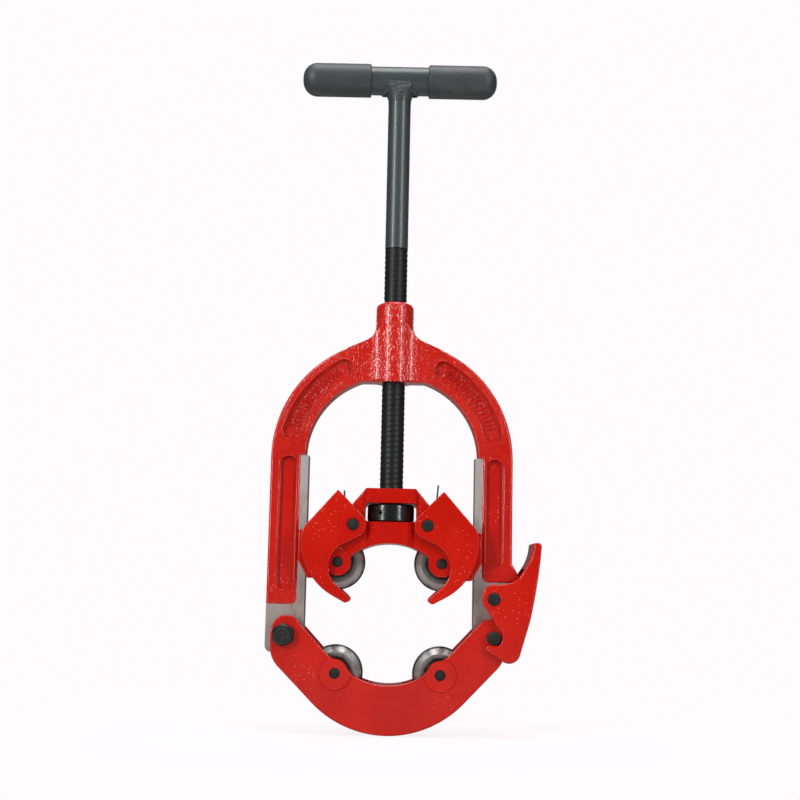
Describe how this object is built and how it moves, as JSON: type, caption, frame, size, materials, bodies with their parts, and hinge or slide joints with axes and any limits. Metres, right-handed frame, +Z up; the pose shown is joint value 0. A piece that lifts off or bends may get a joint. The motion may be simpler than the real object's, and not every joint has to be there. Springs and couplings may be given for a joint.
{
  "type": "pipe cutter",
  "caption": "Hinged pipe cutter with cutter wheels in a sliding carriage and a latched lower jaw, closed by a screw with a T-handle.",
  "frame": {"origin": "centre of the four cutter wheels' pins at rest, on the middle plane, where the pipe's axis passes", "axes": "+X from the hinge to the latch, +Y along the pipe, away from the bolt's head, +Z up the feed screw to the handle"},
  "size_m": [0.2536, 0.0575, 0.6447],
  "materials": {
    "red_enamel": "gloss enamel on a casting, machined bare where parts slide",
    "wheel_steel": "turned and hardened tool steel",
    "black_oxide": "black oxide, oiled",
    "grey_enamel": "semi-gloss dark grey paint",
    "grip_rubber": "matte",
    "spring_steel": "black wire"
  },
  "bodies": {
    "frame": {"frame": "red_enamel", "latch_pivot_pin": "black_oxide"},
    "carriage": {"carriage": "red_enamel", "upper_wheel_pin_left": "black_oxide", "upper_wheel_pin_right": "black_oxide", "guide_pin_left": "black_oxide", "guide_pin_right": "black_oxide", "guide_spring_left": "spring_steel", "guide_spring_right": "spring_steel"},
    "feed": {"feed_screw": "black_oxide", "handle_stem": "grey_enamel", "handle_crossbar": "grey_enamel", "grip_left": "grip_rubber", "grip_right": "grip_rubber", "thrust_collar": "black_oxide", "collar_set_screw": "black_oxide"},
    "upper_wheel_left": {"upper_wheel_left": "wheel_steel"},
    "upper_wheel_right": {"upper_wheel_right": "wheel_steel"},
    "lower_wheel_left": {"lower_wheel_left": "wheel_steel"},
    "lower_wheel_right": {"lower_wheel_right": "wheel_steel"},
    "guide_left": {"guide_left": "red_enamel"},
    "guide_right": {"guide_right": "red_enamel"},
    "lower_jaw": {"lower_jaw": "red_enamel", "lower_wheel_pin_left": "black_oxide", "lower_wheel_pin_right": "black_oxide", "catch_pin": "black_oxide", "hinge_bolt": "black_oxide", "hinge_nut": "black_oxide"},
    "latch": {"latch": "red_enamel"}
  },
  "joints": [
    {"name": "jaw_slide", "type": "slide", "parent": "frame", "child": "carriage", "axis": [0, 0, 1], "range_m": [-0.0451, 0.0661]},
    {"name": "handle_turn", "type": "hinge", "parent": "carriage", "child": "feed", "pos_m": [0, 0, 0], "axis": [0, 0, 1], "range_deg": [-3240, 4752]},
    {"name": "lower_jaw_swing", "type": "hinge", "parent": "frame", "child": "lower_jaw", "pos_m": [-0.096, 0, -0.0166], "axis": [0, 1, 0], "range_deg": [0, 100]},
    {"name": "latch_swing", "type": "hinge", "parent": "frame", "child": "latch", "pos_m": [0.0963, 0, 0.0192], "axis": [0, -1, 0], "range_deg": [0, 18.8]},
    {"name": "guide_left_swing", "type": "hinge", "parent": "carriage", "child": "guide_left", "pos_m": [-0.0345, 0, 0.0849], "axis": [0, 1, 0], "range_deg": [0, 25], "stiffness_Nm_per_rad": 0.4, "springref_deg": -34.38, "deforming": ["guide_spring_left"]},
    {"name": "upper_wheel_left_spin", "type": "hinge", "parent": "carriage", "child": "upper_wheel_left", "pos_m": [-0.0482, 0, 0.05045], "axis": [0, 1, 0], "continuous": true},
    {"name": "lower_wheel_left_spin", "type": "hinge", "parent": "lower_jaw", "child": "lower_wheel_left", "pos_m": [-0.0482, 0, -0.05045], "axis": [0, 1, 0], "continuous": true},
    {"name": "guide_right_swing", "type": "hinge", "parent": "carriage", "child": "guide_right", "pos_m": [0.0345, 0, 0.0849], "axis": [0, -1, 0], "range_deg": [0, 25], "stiffness_Nm_per_rad": 0.4, "springref_deg": -34.38, "deforming": ["guide_spring_right"]},
    {"name": "upper_wheel_right_spin", "type": "hinge", "parent": "carriage", "child": "upper_wheel_right", "pos_m": [0.0482, 0, 0.05045], "axis": [0, 1, 0], "continuous": true},
    {"name": "lower_wheel_right_spin", "type": "hinge", "parent": "lower_jaw", "child": "lower_wheel_right", "pos_m": [0.0482, 0, -0.05045], "axis": [0, 1, 0], "continuous": true}
  ],
  "couplings": [
    {"joint": "jaw_slide", "follows": "handle_turn", "m_per_rad": 0.00079577}
  ]
}
